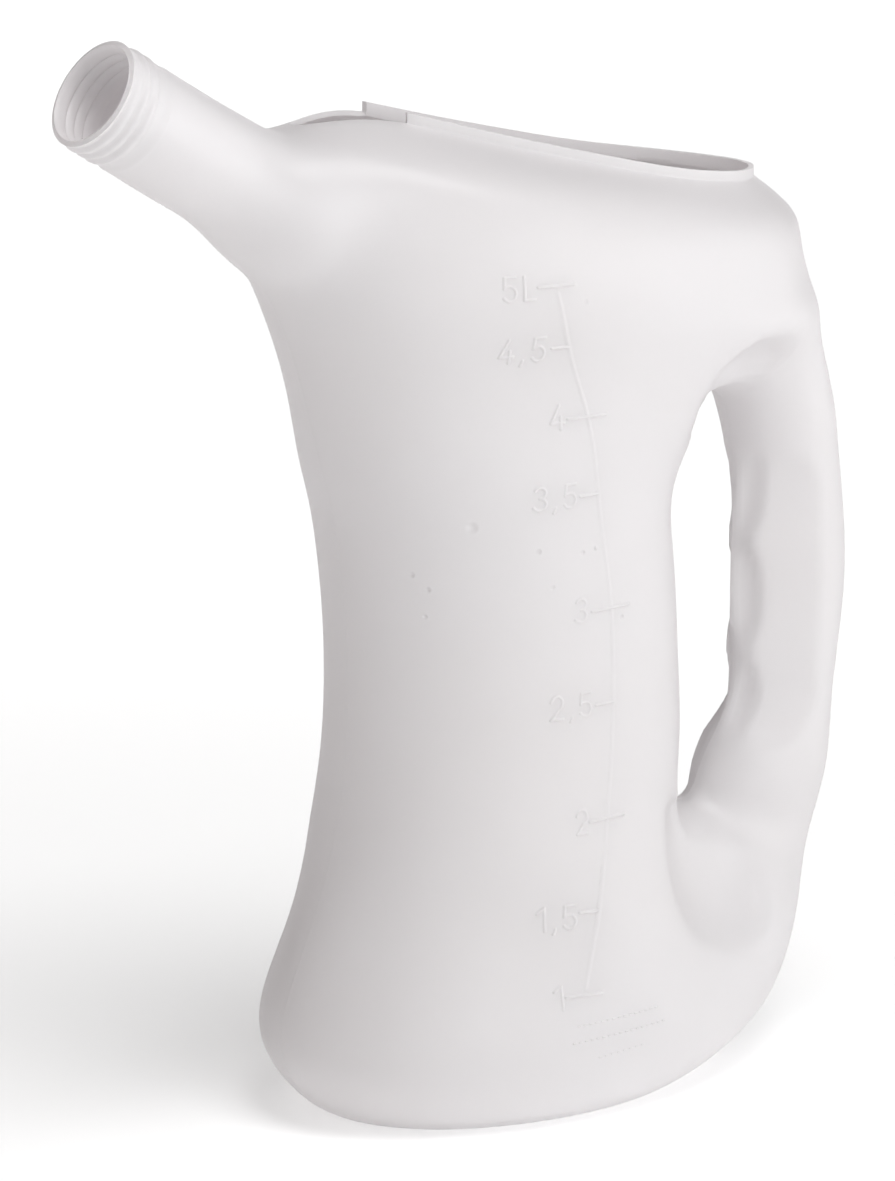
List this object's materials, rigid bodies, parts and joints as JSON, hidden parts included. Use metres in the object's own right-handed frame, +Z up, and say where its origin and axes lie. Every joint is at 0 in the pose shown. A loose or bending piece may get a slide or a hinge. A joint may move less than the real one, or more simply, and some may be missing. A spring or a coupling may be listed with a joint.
{
  "type": "calf feeding bottle",
  "caption": "Translucent blow-moulded feeding jug with hollow handle, wide filling opening and threaded spout, with a loose teat kit kept inside.",
  "frame": {"origin": "centre of the bounding box on the plane of the standing face", "axes": "+Z up, spout towards -X, handle towards +X, symmetric about the XZ plane"},
  "size_m": [0.3402, 0.1352, 0.4084],
  "materials": {
    "jug": "satin natural polyethylene, slightly translucent",
    "teat": "matt natural rubber",
    "ring": "satin white plastic",
    "valve": "satin grey-white plastic"
  },
  "bodies": {
    "jug": {"jug_body": "jug"},
    "teat_kit": {"feeding_teat": "teat", "flow_valve": "valve"},
    "ring": {"screw_ring": "ring"}
  },
  "joints": [
    {"name": "kit_lift", "type": "slide", "parent": "jug", "child": "teat_kit", "axis": [0, 0, 1], "range_m": [0, 0.43]},
    {"name": "ring_turn", "type": "hinge", "parent": "teat_kit", "child": "ring", "pos_m": [0.0472, 0, 0.007], "axis": [0, 0, 1], "continuous": true}
  ]
}
